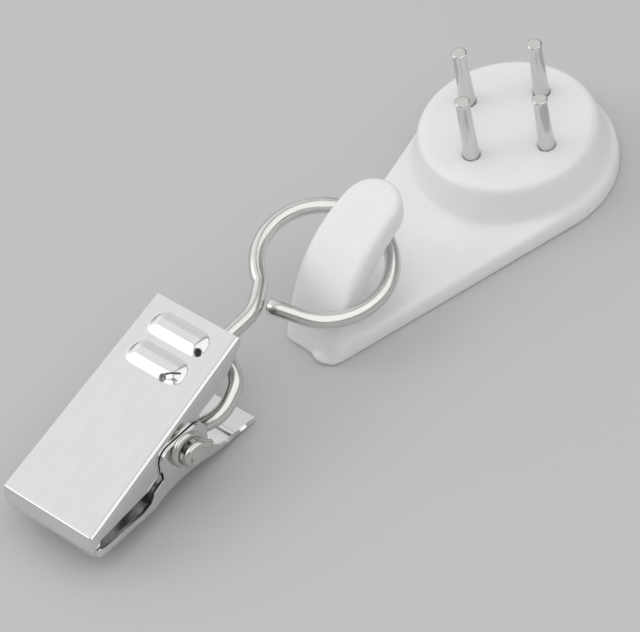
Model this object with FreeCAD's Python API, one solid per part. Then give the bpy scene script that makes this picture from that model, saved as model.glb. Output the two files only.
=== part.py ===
import FreeCAD, Part
import math
import os

# A four-pin wall hook of white plastic, with a nickel-plated spring clip hanging on it by a bent wire.
# Millimetres. The origin is the centre of the round head on its flat back face.
# +Z points out of the wall, +Y up the wall from tail to head, +X to the right.

V = FreeCAD.Vector
OUT = "parts"

# Wall hook
head_r = 10.0
plate_t = 2.0
plate_edge_r = 0.32
tail_y = -28.3
plate_ledge = 0.57
boss_draft = 1.08
boss_foot_r = head_r - plate_ledge
boss_top_r = boss_foot_r - boss_draft
boss_top_z = 5.91
boss_edge_r = 0.9
boss_root_r = 0.22

# Tongue of the wall hook: a bent leaf, its outer face an arc of tongue_r about tongue_centre, as (y, z)
tongue_r = 13.2
tongue_back = 0.41
tongue_sink = 1.92
tongue_centre = (tail_y + tongue_r + tongue_back, -tongue_sink)
tongue_t = 2.5
tongue_half = 3.22
tongue_widest_y = -23.8
tongue_side_r = 70.0
tongue_tip_y = -14.8
tongue_edge_r = 0.55

# Steel pins, driven through the boss into the wall
pin_inset = 3.44
pin_circle_r = boss_top_r - pin_inset
pin_r = 0.75
pin_clearance = 0.04
pin_tip_z = 0.4
pin_tip_length = 1.6
pin_tip_r = 0.12
pin_chamfer = 0.2
pin_stand_out = {"pin_left": 6.38, "pin_top": 6.26, "pin_bottom": 6.98, "pin_right": 6.02}
pin_direction = {"pin_left": (-1, 0), "pin_top": (0, 1), "pin_bottom": (0, -1), "pin_right": (1, 0)}

# Bent wire: an open ring round the tongue, a neck, and a closed eye round the clip's pivot
wire_r = 0.75
ring_left = 1.26
ring_down = 8.47
ring_sink = 4.28
ring_centre = V(-ring_left, tongue_centre[0] - ring_down, tongue_centre[1] + tongue_r - ring_sink)
ring_r = 6.11
ring_tilt = 13.9
ring_start_angle = -65.0
ring_end_angle = 237.5
ring_end_run = 3.35
ring_end_turn = 2.0
neck_run = 0.78
# Corners of the neck from where the ring leaves off, and of the eye from the clip's pivot
neck_points = [V(2.42, -3.01, -0.34), V(2.67, -8.28, -0.09)]
eye_points = [
    V(-2.86, 7.36, 2.75),
    V(-3.06, 3.34, 1.84),
    V(-1.26, -0.40, 1.30),
    V(-0.23, -2.92, 0.40),
    V(0.88, -1.76, -2.04),
    V(0.93, 2.28, -2.01),
    V(3.69, 3.06, -1.75),
    V(5.14, 5.46, -0.95),
    V(4.44, 8.21, 0.25),
    V(2.24, 9.26, 0.95),
]

# Spring clip: two stamped jaws, the lower one's walls outside the upper one's
clip_right = 1.12
clip_down = 17.03
clip_sink = 2.43
clip_hang = V(clip_right, -clip_down, -clip_sink)
clip_pitch = -7.3
clip_yaw = 3.43
pivot_z = 4.25
sheet_t = 0.3
wall_gap = 0.1
upper_half_front = 5.45
upper_half_back = 4.95
upper_front_y = -11.7
upper_front_z = 2.4
upper_back_y = 8.7
upper_back_z = 10.15
mouth_y = -12.05
mouth_z = 1.0
lip_gap = 0.12
lip_depth = 0.5
lip_reach = 1.2
lip_top_z = 1.6
front_wall = 0.35
bend_r = 0.45
lower_front_y = -11.75
lower_back_y = 9.0
ear_half = 2.9
ear_top_z = 5.4
ear_corner_r = 1.3
upper_rear_edge = [(8.65, 9.35), (6.25, 6.95), (4.6, 6.37), (2.4, 5.6), (2.4, 3.4)]
upper_front_edge = [(-2.4, 3.4), (-4.6, 2.3)]
lower_waist = [(-4.5, 0.0), (-0.9, 0.75), (2.9, 0.3), (5.2, 0.0)]
lower_rear_edge = [(6.3, 0.3), (5.2, 0.46), (4.5, 0.78), (2.9, 2.06)]
lower_front_edge = [(-2.9, 2.5), (-4.2, 1.92), (-4.75, 1.21), (-5.9, 0.85)]

# How far cutting blocks reach past what they cut
margin = 3.0
clip_span = 2 * (upper_half_front + margin)

# Two grip ribs pressed up in the upper jaw, measured along its sheet from the handle end
rib_places = (2.6, 5.9)
rib_half_length = 2.7
rib_half_width = 1.05
rib_height = 0.4
rib_edge_r = 0.3

# Pivot, riveted over the left ear, and the spring round its right end
pivot_r = 0.5
pivot_clearance = 0.04
pivot_head_r = 0.8
pivot_head_length = 0.6
pivot_stand_out = 2.1
pivot_rivet_length = 0.35
pivot_rivet_out = 0.45
spring_wire_r = 0.32
spring_mean_r = 1.45
spring_pitch = 1.06
spring_wall_gap = 0.1
spring_turns = 1.5
spring_start_angle = 220.0
spring_slot_clearance = 0.08
spring_slot_sweep = 24.0
spring_leg_out = 0.9


def polar(radius, degrees):
    return radius * math.cos(math.radians(degrees)), radius * math.sin(math.radians(degrees))


def outline(place, start, *steps):
    """A closed face. A step is a point, for a line, or two points, for an arc through the first to the second."""
    here = place(*start)
    edges = []
    for step in steps + (start,):
        if isinstance(step[0], tuple):
            through = place(*step[0])
            there = place(*step[1])
            edges.append(Part.Arc(here, through, there).toShape())
        else:
            there = place(*step)
            if there.distanceToPoint(here) < 1e-6:
                continue
            edges.append(Part.LineSegment(here, there).toShape())
        here = there
    return Part.Face(Part.Wire(edges))


def plan(z):
    return lambda x, y: V(x, y, z)


def side(x):
    return lambda y, z: V(x, y, z)


def prism(face, direction):
    return face.extrude(direction)


def write(name, shape):
    shape = shape.removeSplitter()
    if not shape.isValid():
        raise ValueError(name + " is not a valid solid")
    shape.exportStep(os.path.join(OUT, name + ".step"))
    box = shape.BoundBox
    print("%-14s %d solid(s), %8.2f mm3, z %.2f to %.2f" % (name, len(shape.Solids), shape.Volume, box.ZMin, box.ZMax))
    return shape


def tail_half():
    """Half width of the tail's end, where the tongue's bowed sides and the plate's flanks start together."""
    return tongue_half - tongue_side_r + math.sqrt(tongue_side_r ** 2 - (tail_y - tongue_widest_y) ** 2)


def flank_touch():
    """Where the straight flank from the tail's corner touches the round head."""
    x, y = tail_half(), tail_y
    away = math.hypot(x, y)
    angle = math.atan2(y, x) + math.acos(head_r / away)
    return head_r * math.cos(angle), head_r * math.sin(angle)


def tail_foot():
    """Height at which a line rising from the tail's back edge runs tangent into the tongue's outer arc."""
    cy, cz = tongue_centre
    dy, dz = tail_y - cy, -cz
    away = math.hypot(dy, dz)
    angle = math.atan2(dz, dy) - math.acos(tongue_r / away)
    return cy + tongue_r * math.cos(angle), cz + tongue_r * math.sin(angle)


def plate_solid():
    touch_x, touch_y = flank_touch()
    half = tail_half()
    face = outline(plan(0), (touch_x, touch_y), ((0, head_r), (-touch_x, touch_y)), (-half, tail_y), (half, tail_y))
    body = prism(face, V(0, 0, plate_t))
    foot_y, foot_z = tail_foot()
    lean = (foot_y - tail_y) / foot_z
    low = (tail_y - margin * lean, -margin)
    high = (tail_y + margin * lean, margin)
    beyond = outline(side(-head_r), low, high, (tail_y - margin, margin), (tail_y - margin, -margin))
    body = body.cut(prism(beyond, V(2 * head_r, 0, 0)))
    slant = [e for e in body.Edges if e.BoundBox.ZLength > plate_t / 2 and e.BoundBox.YMax < tail_y + plate_t]
    body = body.makeFillet(tongue_edge_r, slant)
    rim = [e for e in body.Edges if e.BoundBox.ZMin > plate_t - 1e-6]
    return body.makeFillet(plate_edge_r, rim)


def boss_solid():
    height = boss_top_z - plate_t
    cone = Part.makeCone(boss_foot_r, boss_top_r, height, V(0, 0, plate_t))
    rim = [e for e in cone.Edges if e.BoundBox.ZMin > boss_top_z - 1e-6]
    return cone.makeFillet(boss_edge_r, rim)


def tongue_solid():
    """The leaf: its side view extruded across, cut to its outline seen from the front."""
    cy, cz = tongue_centre
    inner_r = tongue_r - tongue_t
    root = (cy - math.sqrt(inner_r ** 2 - (plate_t / 2 - cz) ** 2), plate_t / 2)
    beyond = tongue_tip_y + margin
    tip_outer = (beyond, cz + math.sqrt(tongue_r ** 2 - (beyond - cy) ** 2))
    tip_inner = (beyond, cz + math.sqrt(inner_r ** 2 - (beyond - cy) ** 2))
    half_turn = math.sqrt(0.5)
    mid_outer = (cy - tongue_r * half_turn, cz + tongue_r * half_turn)
    mid_inner = (cy - inner_r * half_turn, cz + inner_r * half_turn)
    view = outline(
        side(-head_r), (tail_y, 0), tail_foot(), (mid_outer, tip_outer), tip_inner, (mid_inner, root), (root[0], 0))
    slab = prism(view, V(2 * head_r, 0, 0))
    run = tongue_tip_y - tongue_widest_y
    side_x = tongue_half - tongue_side_r
    tip_r = (tongue_side_r ** 2 - side_x ** 2 - run ** 2) / (2 * (tongue_side_r - run))
    tip_y = tongue_tip_y - tip_r
    away = math.hypot(side_x, tip_y - tongue_widest_y)
    join_x = side_x - side_x * tongue_side_r / away
    join_y = tongue_widest_y + (tip_y - tongue_widest_y) * tongue_side_r / away
    half = tail_half()
    leaf = outline(
        plan(-margin), (half, tail_y), ((tongue_half, tongue_widest_y), (join_x, join_y)),
        ((0, tongue_tip_y), (-join_x, join_y)), ((-tongue_half, tongue_widest_y), (-half, tail_y)))
    body = slab.common(prism(leaf, V(0, 0, 2 * tongue_r)))
    rim = []
    for edge in body.Edges:
        box = edge.BoundBox
        across = box.YLength < 1e-6 and box.ZLength < 1e-6
        upright = box.XLength < 1e-6 and box.YLength < 1e-6
        on_back = box.ZMax < 1e-6
        if not across and not upright and not on_back and box.ZLength > 0.01:
            rim.append(edge)
    return body.makeFillet(tongue_edge_r, rim)


def is_boss_foot(edge):
    on_plate = abs(edge.BoundBox.ZMax - plate_t) < 1e-4
    return on_plate and isinstance(edge.Curve, Part.Circle) and abs(edge.Curve.Radius - boss_foot_r) < 1e-3


def hook_body():
    body = plate_solid().fuse(boss_solid()).removeSplitter()
    body = body.makeFillet(boss_root_r, [e for e in body.Edges if is_boss_foot(e)])
    body = body.fuse(tongue_solid()).removeSplitter()
    for name in pin_stand_out:
        x, y = pin_place(name)
        body = body.cut(Part.makeCylinder(pin_r + pin_clearance, boss_top_z + 2 * margin, V(x, y, -margin)))
    return body


def pin_place(name):
    return tuple(pin_circle_r * c for c in pin_direction[name])


def pin_solid(name):
    x, y = pin_place(name)
    top = boss_top_z + pin_stand_out[name]
    tip = Part.makeCone(pin_tip_r, pin_r, pin_tip_length, V(x, y, pin_tip_z))
    foot = pin_tip_z + pin_tip_length
    shaft = Part.makeCylinder(pin_r, top - pin_chamfer - foot, V(x, y, foot))
    crown = Part.makeCone(pin_r, pin_r - pin_chamfer, pin_chamfer, V(x, y, top - pin_chamfer))
    return tip.fuse(shaft).fuse(crown).removeSplitter()


def bend(a, b, c, reach=0.45):
    """The tangent arc at corner b of the runs a-b and b-c, as large as the shorter run allows."""
    u = (a - b).normalize()
    v = (c - b).normalize()
    turn = math.pi - u.getAngle(v)
    tangent = reach * min(a.distanceToPoint(b), c.distanceToPoint(b))
    radius = tangent / math.tan(turn / 2)
    middle = (u + v).normalize()
    depth = radius / math.cos(turn / 2) - radius
    return b + u * tangent, b + middle * depth, b + v * tangent, radius


def in_ring_plane(radius, degrees):
    """A vector in the tilted plane of the wire's ring."""
    tilt = math.radians(ring_tilt)
    x, y = polar(radius, degrees)
    return V(x * math.cos(tilt), y, -x * math.sin(tilt))


def on_ring(degrees):
    return ring_centre + in_ring_plane(ring_r, degrees)


def heading(degrees):
    return in_ring_plane(1.0, degrees + 90)


def clip_pivot():
    """Centre of the clip's pivot, hung from where the ring leaves off."""
    return on_ring(ring_end_angle) + clip_hang


def wire_path():
    """Edges of the wire's centre line, from the ring's open end round to the eye's end."""
    first = on_ring(ring_start_angle)
    back = heading(ring_start_angle + ring_end_turn) * -ring_end_run
    edges = [Part.LineSegment(first + back, first).toShape()]
    mid_angle = (ring_start_angle + ring_end_angle) / 2
    for a, b in ((ring_start_angle, mid_angle), (mid_angle, ring_end_angle)):
        edges.append(Part.Arc(on_ring(a), on_ring((a + b) / 2), on_ring(b)).toShape())
    leave = on_ring(ring_end_angle)
    corners = [leave, leave + heading(ring_end_angle) * neck_run]
    corners += [leave + p for p in neck_points]
    corners += [clip_pivot() + p for p in eye_points]
    here = leave
    radii = []
    for a, b, c in zip(corners, corners[1:], corners[2:]):
        start, middle, end, radius = bend(a, b, c)
        if start.distanceToPoint(here) > 1e-4:
            edges.append(Part.LineSegment(here, start).toShape())
        edges.append(Part.Arc(start, middle, end).toShape())
        here = end
        radii.append(radius)
    edges.append(Part.LineSegment(here, corners[-1]).toShape())
    print("wire bends, mm:", " ".join("%.1f" % r for r in radii))
    return edges


def tube(edges, radius, start_dir):
    start = edges[0].Vertexes[0].Point
    ring = Part.Wire(Part.makeCircle(radius, start, start_dir))
    pipe = Part.BRepOffsetAPI.MakePipeShell(Part.Wire(edges))
    pipe.add(ring, False, False)
    pipe.build()
    pipe.makeSolid()
    return pipe.shape()


def wire_hook():
    edges = wire_path()
    solid = tube(edges, wire_r, edges[0].tangentAt(edges[0].FirstParameter))
    length = sum(e.Length for e in edges)
    print("wire %.1f mm long, volume %.2f against %.2f" % (length, solid.Volume, math.pi * wire_r ** 2 * length))
    return solid


def wedge(front_half, back_half):
    """A tall block between the two side planes of a jaw, which draw together from the mouth to the handle."""
    slope = (back_half - front_half) / (upper_back_y - upper_front_y)
    near = upper_front_y - margin
    far = upper_back_y + margin
    a = front_half + slope * (near - upper_front_y)
    b = front_half + slope * (far - upper_front_y)
    face = outline(plan(-margin), (-a, near), (a, near), (b, far), (-b, far))
    return prism(face, V(0, 0, upper_back_z + 2 * margin))


def in_clip(shape):
    """Moves a shape from the clip's own frame, where the lower jaw lies flat, to how the clip hangs on the wire."""
    shape.translate(V(0, 0, -pivot_z))
    shape.rotate(V(0, 0, 0), V(1, 0, 0), clip_pitch)
    shape.rotate(V(0, 0, 0), V(0, 0, 1), clip_yaw)
    shape.translate(clip_pivot())
    return shape


def half_width(y):
    slope = (upper_half_back - upper_half_front) / (upper_back_y - upper_front_y)
    return upper_half_front + slope * (y - upper_front_y)


def sheet_direction():
    run = V(0, upper_back_y - upper_front_y, upper_back_z - upper_front_z)
    return run.normalize()


def upper_top(y, below=0.0):
    """Height of the upper jaw's sheet at y, or of a line that lies below it by a distance square to it."""
    run = sheet_direction()
    return upper_front_z + (y - upper_front_y) * run.z / run.y - below / run.y


def rib_prism(place, grow, base, height):
    """A round-ended bar across the sheet, standing from base to base + height, square to the sheet."""
    half = rib_half_length
    r = rib_half_width + grow
    flat = outline(plan(base), (-half, -r), (half, -r), ((half + r, 0), (half, r)), (-half, r), ((-half - r, 0), (-half, -r)))
    bar = prism(flat, V(0, 0, height))
    if grow == 0:
        rim = [e for e in bar.Edges if e.BoundBox.ZMin > base + height - 1e-6]
        bar = bar.makeFillet(rib_edge_r, rim)
    run = sheet_direction()
    angle = math.degrees(math.atan2(run.z, run.y))
    bar.rotate(V(0, 0, 0), V(1, 0, 0), angle)
    back = V(0, upper_back_y, upper_back_z)
    bar.translate(back - run * place)
    return bar


def upper_jaw():
    left = side(-clip_span / 2)
    across = V(clip_span, 0, 0)
    lip_z = mouth_z + lip_gap / 2
    ear_low = pivot_z - ear_half + wall_gap
    outer = outline(
        left, (mouth_y, lip_z), (upper_front_y, upper_front_z), (upper_back_y, upper_back_z), *upper_rear_edge,
        ((0, ear_low), upper_front_edge[0]), *upper_front_edge[1:], (mouth_y + lip_reach, lip_top_z),
        (mouth_y + lip_reach, lip_z))
    body = prism(outer, across).common(wedge(upper_half_front, upper_half_back))
    bends = []
    for edge in body.Edges:
        a, b = edge.Vertexes[0].Point, edge.Vertexes[-1].Point
        on_top = abs(a.z - upper_top(a.y)) < 1e-4 and abs(b.z - upper_top(b.y)) < 1e-4
        long_edge = abs(a.y - b.y) > ear_half
        front_edge = abs(a.y - upper_front_y) < 1e-4 and abs(b.y - upper_front_y) < 1e-4
        if on_top and (long_edge or front_edge):
            bends.append(edge)
    body = body.makeFillet(bend_r, bends)
    front_y = upper_front_y + sheet_t
    far_y = upper_back_y + margin
    low_z = mouth_z - margin
    hollow = outline(
        left, (mouth_y + front_wall, low_z), (mouth_y + front_wall, lip_z), (front_y, upper_top(front_y, sheet_t)),
        (far_y, upper_top(far_y, sheet_t)), (far_y, low_z))
    room = prism(hollow, across).common(wedge(upper_half_front - sheet_t, upper_half_back - sheet_t))
    body = body.cut(room)
    for place in rib_places:
        body = body.fuse(rib_prism(place, 0, -sheet_t / 2, rib_height + sheet_t / 2))
    for place in rib_places:
        body = body.cut(rib_prism(place, -sheet_t, -3 * sheet_t, rib_height + 2 * sheet_t))
    return in_clip(body.cut(crosswise(pivot_r + pivot_clearance, 0, pivot_z)).removeSplitter())


def crosswise(radius, y, z, start=-clip_span / 2):
    """A cylinder across the clip, right through it or from start to beyond the right ear."""
    return Part.makeCylinder(radius, clip_span / 2 - start, V(start, y, z), V(1, 0, 0))


def lower_jaw():
    grow = sheet_t + wall_gap
    ear = ear_half
    top = ear_top_z
    r = ear_corner_r
    corner = r * (1 - math.sqrt(0.5))
    left = side(-clip_span / 2)
    across = V(clip_span, 0, 0)
    lip_z = mouth_z - lip_gap / 2
    fold, crest, knee, foot = lower_waist
    outer = outline(
        left, (mouth_y, lip_z), (lower_front_y, 0), fold, (crest, knee), foot, (lower_back_y, 0), (lower_back_y, sheet_t),
        *lower_rear_edge, (ear, top - r), ((ear - corner, top - corner), (ear - r, top)), (r - ear, top),
        ((corner - ear, top - corner), (-ear, top - r)), *lower_front_edge, (mouth_y + lip_reach, lip_z))
    body = prism(outer, across).common(wedge(upper_half_front + grow, upper_half_back + grow))
    fold, crest, knee, foot = [(y, z + sheet_t) for y, z in lower_waist]
    far_y = lower_back_y + margin
    high_z = top + margin
    hollow = outline(
        left, (lower_front_y + sheet_t, sheet_t), fold, (crest, knee), foot, (far_y, sheet_t), (far_y, high_z),
        (mouth_y + lip_depth, high_z), (mouth_y + lip_depth, lip_z - sheet_t))
    body = body.cut(prism(hollow, across).common(wedge(upper_half_front + wall_gap, upper_half_back + wall_gap)))
    body = body.cut(crosswise(pivot_r + pivot_clearance, 0, pivot_z))
    return in_clip(body.cut(spring_slot()).removeSplitter())


def spring_slot():
    """An arc slot in the right ear, in which the spring's inner end travels as the jaws open."""
    inner = spring_mean_r - spring_wire_r - spring_slot_clearance
    outer = spring_mean_r + spring_wire_r + spring_slot_clearance
    first = spring_start_angle - spring_slot_sweep
    middle = (first + spring_start_angle) / 2

    def at(radius, degrees):
        y, z = polar(radius, degrees)
        return y, pivot_z + z

    track = outline(
        side(0), at(inner, first), (at(inner, middle), at(inner, spring_start_angle)), at(outer, spring_start_angle),
        (at(outer, middle), at(outer, first)))
    slot = prism(track, V(clip_span / 2, 0, 0))
    for angle in (first, spring_start_angle):
        y, z = at(spring_mean_r, angle)
        slot = slot.fuse(crosswise((outer - inner) / 2, y, z, 0))
    return slot


def ear_outer():
    """Distance from the clip's middle to the outside of the lower jaw's ears, at the pivot."""
    return half_width(0) + wall_gap + sheet_t


def pivot_pin():
    """The pin through both ears: the spring sits round its long right end, and its left end is riveted over the ear."""
    right = ear_outer() + pivot_stand_out
    left = ear_outer() + pivot_rivet_out
    start = pivot_rivet_length - left
    shaft = Part.makeCylinder(pivot_r, right - pivot_head_length - start, V(start, 0, pivot_z), V(1, 0, 0))
    for hand, end, length in ((1, right, pivot_head_length), (-1, left, pivot_rivet_length)):
        neck = hand * (end - length)
        head = Part.makeCylinder(pivot_head_r, length, V(neck, 0, pivot_z), V(hand, 0, 0))
        rim = [e for e in head.Edges if abs(e.BoundBox.XMin - hand * end) < 1e-6 and abs(e.BoundBox.XMax - hand * end) < 1e-6]
        shaft = shaft.fuse(head.makeFillet(length * 0.8, rim))
    return in_clip(shaft.removeSplitter())


def biarc(p0, t0, p1, t1):
    """Two arcs from p0 to p1 that share a tangent where they meet and follow t0 and t1 at their ends."""
    chord = p1 - p0
    total = t0 + t1
    a = 2 * (1 - t0.dot(t1))
    b = 2 * chord.dot(total)
    c = -chord.dot(chord)
    if abs(a) < 1e-9:
        reach = -c / b
    else:
        reach = (-b + math.sqrt(b * b - 4 * a * c)) / (2 * a)
    q0 = p0 + t0 * reach
    q1 = p1 - t1 * reach
    joint = (q0 + q1) * 0.5
    return [arc_from(p0, t0, joint), arc_from(joint, (q1 - q0).normalize(), p1)]


def arc_from(start, tangent, end):
    chord = end - start
    side_step = chord - tangent * chord.dot(tangent)
    if side_step.Length < 1e-6:
        return Part.LineSegment(start, end).toShape()
    normal = side_step.normalize()
    radius = chord.dot(chord) / (2 * chord.dot(normal))
    centre = start + normal * radius
    middle = (start + end) * 0.5 - centre
    angle = tangent.getAngle(chord)
    if angle > math.pi / 2:
        middle = middle * -1
    return Part.Arc(start, centre + middle.normalize() * radius, end).toShape()


def spring():
    """Open turns round the pivot outside the right ear: in from a slot in the ear, out along a short leg."""
    inside = ear_outer() - sheet_t
    first = ear_outer() + spring_wall_gap
    pull_in = 1.3 * spring_wire_r

    def turn_point(t):
        y, z = polar(spring_mean_r, spring_start_angle - 360 * t)
        return V(first + pull_in + spring_pitch * t, y, pivot_z + z)

    def turn_heading(t):
        y, z = polar(1.0, spring_start_angle - 360 * t - 90)
        rise = spring_pitch / (2 * math.pi * spring_mean_r)
        return V(rise, y, z).normalize()

    steps = int(round(spring_turns * 4))
    times = [spring_turns * i / steps for i in range(steps + 1)]
    start = V(inside, turn_point(0).y, turn_point(0).z)
    bend_out = V(first, start.y, start.z)
    edges = [Part.LineSegment(start, bend_out).toShape()]
    lead = -0.12
    edges += biarc(bend_out, V(1, 0, 0), turn_point(lead + 0.25), turn_heading(lead + 0.25))
    here = lead + 0.25
    for t in times:
        if t > here + 0.05:
            edges += biarc(turn_point(here), turn_heading(here), turn_point(t), turn_heading(t))
            here = t
    last = turn_point(here)
    out = turn_heading(here)
    leg_end = last + out * spring_leg_out
    edges.append(Part.LineSegment(last, leg_end).toShape())
    solid = tube(edges, spring_wire_r, V(1, 0, 0))
    print("spring gap to itself %.2f mm" % least_gap(edges, spring_wire_r))
    return in_clip(solid)


def least_gap(edges, radius):
    """Smallest clear space between stretches of a tube that are over three diameters apart along it."""
    points = []
    run = 0.0
    for edge in edges:
        count = max(2, int(edge.Length / 0.15))
        for i in range(count):
            parameter = edge.FirstParameter + (edge.LastParameter - edge.FirstParameter) * i / count
            points.append((run + edge.Length * i / count, edge.valueAt(parameter)))
        run += edge.Length
    gap = 1e9
    for i, (s, p) in enumerate(points):
        for r, q in points[i + 1:]:
            if r - s > 6 * radius:
                gap = min(gap, p.distanceToPoint(q))
    return gap - 2 * radius


def main():
    os.makedirs(OUT, exist_ok=True)
    write("hook_body", hook_body())
    for name in pin_stand_out:
        write(name, pin_solid(name))
    write("wire_hook", wire_hook())
    write("upper_jaw", upper_jaw())
    write("lower_jaw", lower_jaw())
    write("pivot_pin", pivot_pin())
    write("spring_right", spring())


main()
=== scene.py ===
import bpy
import bmesh
import math
from mathutils import Matrix, Vector, noise


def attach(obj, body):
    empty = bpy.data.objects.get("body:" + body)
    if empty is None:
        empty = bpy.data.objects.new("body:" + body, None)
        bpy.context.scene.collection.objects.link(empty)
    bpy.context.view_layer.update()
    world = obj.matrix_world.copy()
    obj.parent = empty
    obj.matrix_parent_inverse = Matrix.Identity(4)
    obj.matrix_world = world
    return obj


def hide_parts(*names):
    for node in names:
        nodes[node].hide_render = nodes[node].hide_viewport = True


# Wall hook with a spring clip hanging on it. Sizes are in millimetres unless a note says otherwise.
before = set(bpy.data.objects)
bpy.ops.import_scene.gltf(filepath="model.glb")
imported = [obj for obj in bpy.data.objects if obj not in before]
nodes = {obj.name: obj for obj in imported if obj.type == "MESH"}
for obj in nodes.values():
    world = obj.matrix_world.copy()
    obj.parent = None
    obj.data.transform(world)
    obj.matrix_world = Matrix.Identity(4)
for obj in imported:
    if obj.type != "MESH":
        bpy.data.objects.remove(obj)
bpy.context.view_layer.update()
mm = 0.001
print("frame loaded:", len(nodes), "nodes")


# helpers for shader trees
def startGroup(name, inputs, outputs):
    group = bpy.data.node_groups.new(name, "ShaderNodeTree")
    for label, kind, value in inputs:
        socket = group.interface.new_socket(name=label, in_out="INPUT", socket_type="NodeSocket" + kind)
        if value is not None:
            socket.default_value = value
    for label in outputs:
        group.interface.new_socket(name=label, in_out="OUTPUT", socket_type="NodeSocketFloat")
    return group, group.nodes.new("NodeGroupInput"), group.nodes.new("NodeGroupOutput")


def feed(tree, given, socket):
    # a number or colour is set on the socket, an output is linked to it
    if isinstance(given, bpy.types.NodeSocket):
        tree.links.new(given, socket)
    else:
        socket.default_value = given


def addNoise(tree, vector, scale, detail=2.0, roughness=0.5):
    node = tree.nodes.new("ShaderNodeTexNoise")
    for label, given in (("Vector", vector), ("Scale", scale), ("Detail", detail), ("Roughness", roughness)):
        feed(tree, given, node.inputs[label])
    return node


def mapTo(tree, value, source, target):
    node = tree.nodes.new("ShaderNodeMapRange")
    for label, given in zip(("Value", "From Min", "From Max", "To Min", "To Max"), (value, *source, *target)):
        feed(tree, given, node.inputs[label])
    return node.outputs["Result"]


# shader groups that more than one finish uses: they give out masks and heights only
def buildFineGrain():
    # fine texture, longer along whichever axis has the smaller stretch
    group, given, out = startGroup(
        "fineGrain", [("Vector", "Vector", None), ("Stretch", "Vector", (5000, 5000, 5000))], ["Height", "Tint"])
    mapping = group.nodes.new("ShaderNodeMapping")
    group.links.new(given.outputs["Vector"], mapping.inputs["Vector"])
    group.links.new(given.outputs["Stretch"], mapping.inputs["Scale"])
    fine = addNoise(group, mapping.outputs["Vector"], scale=1.0, detail=3.0, roughness=0.6)
    broad = addNoise(group, mapping.outputs["Vector"], scale=0.22)
    group.links.new(fine.outputs["Fac"], out.inputs["Height"])
    group.links.new(broad.outputs["Fac"], out.inputs["Tint"])
    return group


def buildSoftMottle():
    # slow change between two values; Size counts the clouds in a metre
    group, given, out = startGroup(
        "softMottle",
        [("Vector", "Vector", None), ("Size", "Float", 400.0), ("Low", "Float", 0.0), ("High", "Float", 1.0)],
        ["Value"])
    cloud = addNoise(group, given.outputs["Vector"], given.outputs["Size"], detail=3.0, roughness=0.55)
    target = (given.outputs["Low"], given.outputs["High"])
    value = mapTo(group, cloud.outputs["Fac"], source=(0.3, 0.7), target=target)
    group.links.new(value, out.inputs["Value"])
    return group


scuffShape = {
    "warpSize": 900.0, "warpShare": 0.0006, "lineWidth": 0.02, "patchSize": 260.0, "patches": (0.5, 0.68),
}


def buildScuffs():
    # thin broken lines and specks from handling
    group, given, out = startGroup(
        "scuffs", [("Vector", "Vector", None), ("Size", "Float", 500.0), ("Coverage", "Float", 0.4)], ["Mask"])
    warp = addNoise(group, given.outputs["Vector"], scuffShape["warpSize"])
    shift = group.nodes.new("ShaderNodeMix")
    shift.data_type = "VECTOR"
    shift.inputs["Factor"].default_value = scuffShape["warpShare"]
    # the mix node keeps its vector sockets at 4 and 5 going in and at 1 coming out
    group.links.new(given.outputs["Vector"], shift.inputs[4])
    group.links.new(warp.outputs["Color"], shift.inputs[5])
    cells = group.nodes.new("ShaderNodeTexVoronoi")
    cells.feature = "DISTANCE_TO_EDGE"
    group.links.new(shift.outputs[1], cells.inputs["Vector"])
    group.links.new(given.outputs["Size"], cells.inputs["Scale"])
    lines = mapTo(group, cells.outputs["Distance"], (0.0, scuffShape["lineWidth"]), (1.0, 0.0))
    patches = addNoise(group, given.outputs["Vector"], scuffShape["patchSize"])
    where = mapTo(group, patches.outputs["Fac"], scuffShape["patches"], (0.0, given.outputs["Coverage"]))
    both = group.nodes.new("ShaderNodeMath")
    both.operation = "MULTIPLY"
    group.links.new(lines, both.inputs[0])
    group.links.new(where, both.inputs[1])
    group.links.new(both.outputs["Value"], out.inputs["Mask"])
    return group


fineGrain = buildFineGrain()
softMottle = buildSoftMottle()
scuffs = buildScuffs()


# helpers for materials
def placeGroup(tree, group, vector, values):
    node = tree.nodes.new("ShaderNodeGroup")
    node.node_tree = group
    tree.links.new(vector, node.inputs["Vector"])
    for label, value in values.items():
        node.inputs[label].default_value = value
    return node


def blendColours(tree, factor, low, high):
    # the mix node keeps its colour sockets at 6 and 7 going in and at 2 coming out
    mix = tree.nodes.new("ShaderNodeMix")
    mix.data_type = "RGBA"
    tree.links.new(factor, mix.inputs["Factor"])
    for socket, colour in ((mix.inputs[6], low), (mix.inputs[7], high)):
        feed(tree, (*colour, 1.0) if isinstance(colour, tuple) else colour, socket)
    return mix.outputs[2]


def addBump(tree, height, strength, distance, normal=None):
    bump = tree.nodes.new("ShaderNodeBump")
    bump.inputs["Strength"].default_value = strength
    bump.inputs["Distance"].default_value = distance
    tree.links.new(height, bump.inputs["Height"])
    if normal is not None:
        tree.links.new(normal, bump.inputs["Normal"])
    return bump.outputs["Normal"]


def scaleAndAdd(tree, value, share, other):
    node = tree.nodes.new("ShaderNodeMath")
    node.operation = "MULTIPLY_ADD"
    for socket, given in zip(node.inputs, (value, share, other)):
        feed(tree, given, socket)
    return node.outputs["Value"]


def readAttribute(tree, name):
    node = tree.nodes.new("ShaderNodeAttribute")
    node.attribute_name = name
    return node


def startMaterial(name):
    material = bpy.data.materials.new(name)
    material.use_nodes = True
    tree = material.node_tree
    vector = tree.nodes.new("ShaderNodeTexCoord").outputs["Object"]
    return material, tree, tree.nodes["Principled BSDF"], vector


wear = {"scuffRoughness": 0.25, "pitRoughness": 0.3}


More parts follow.
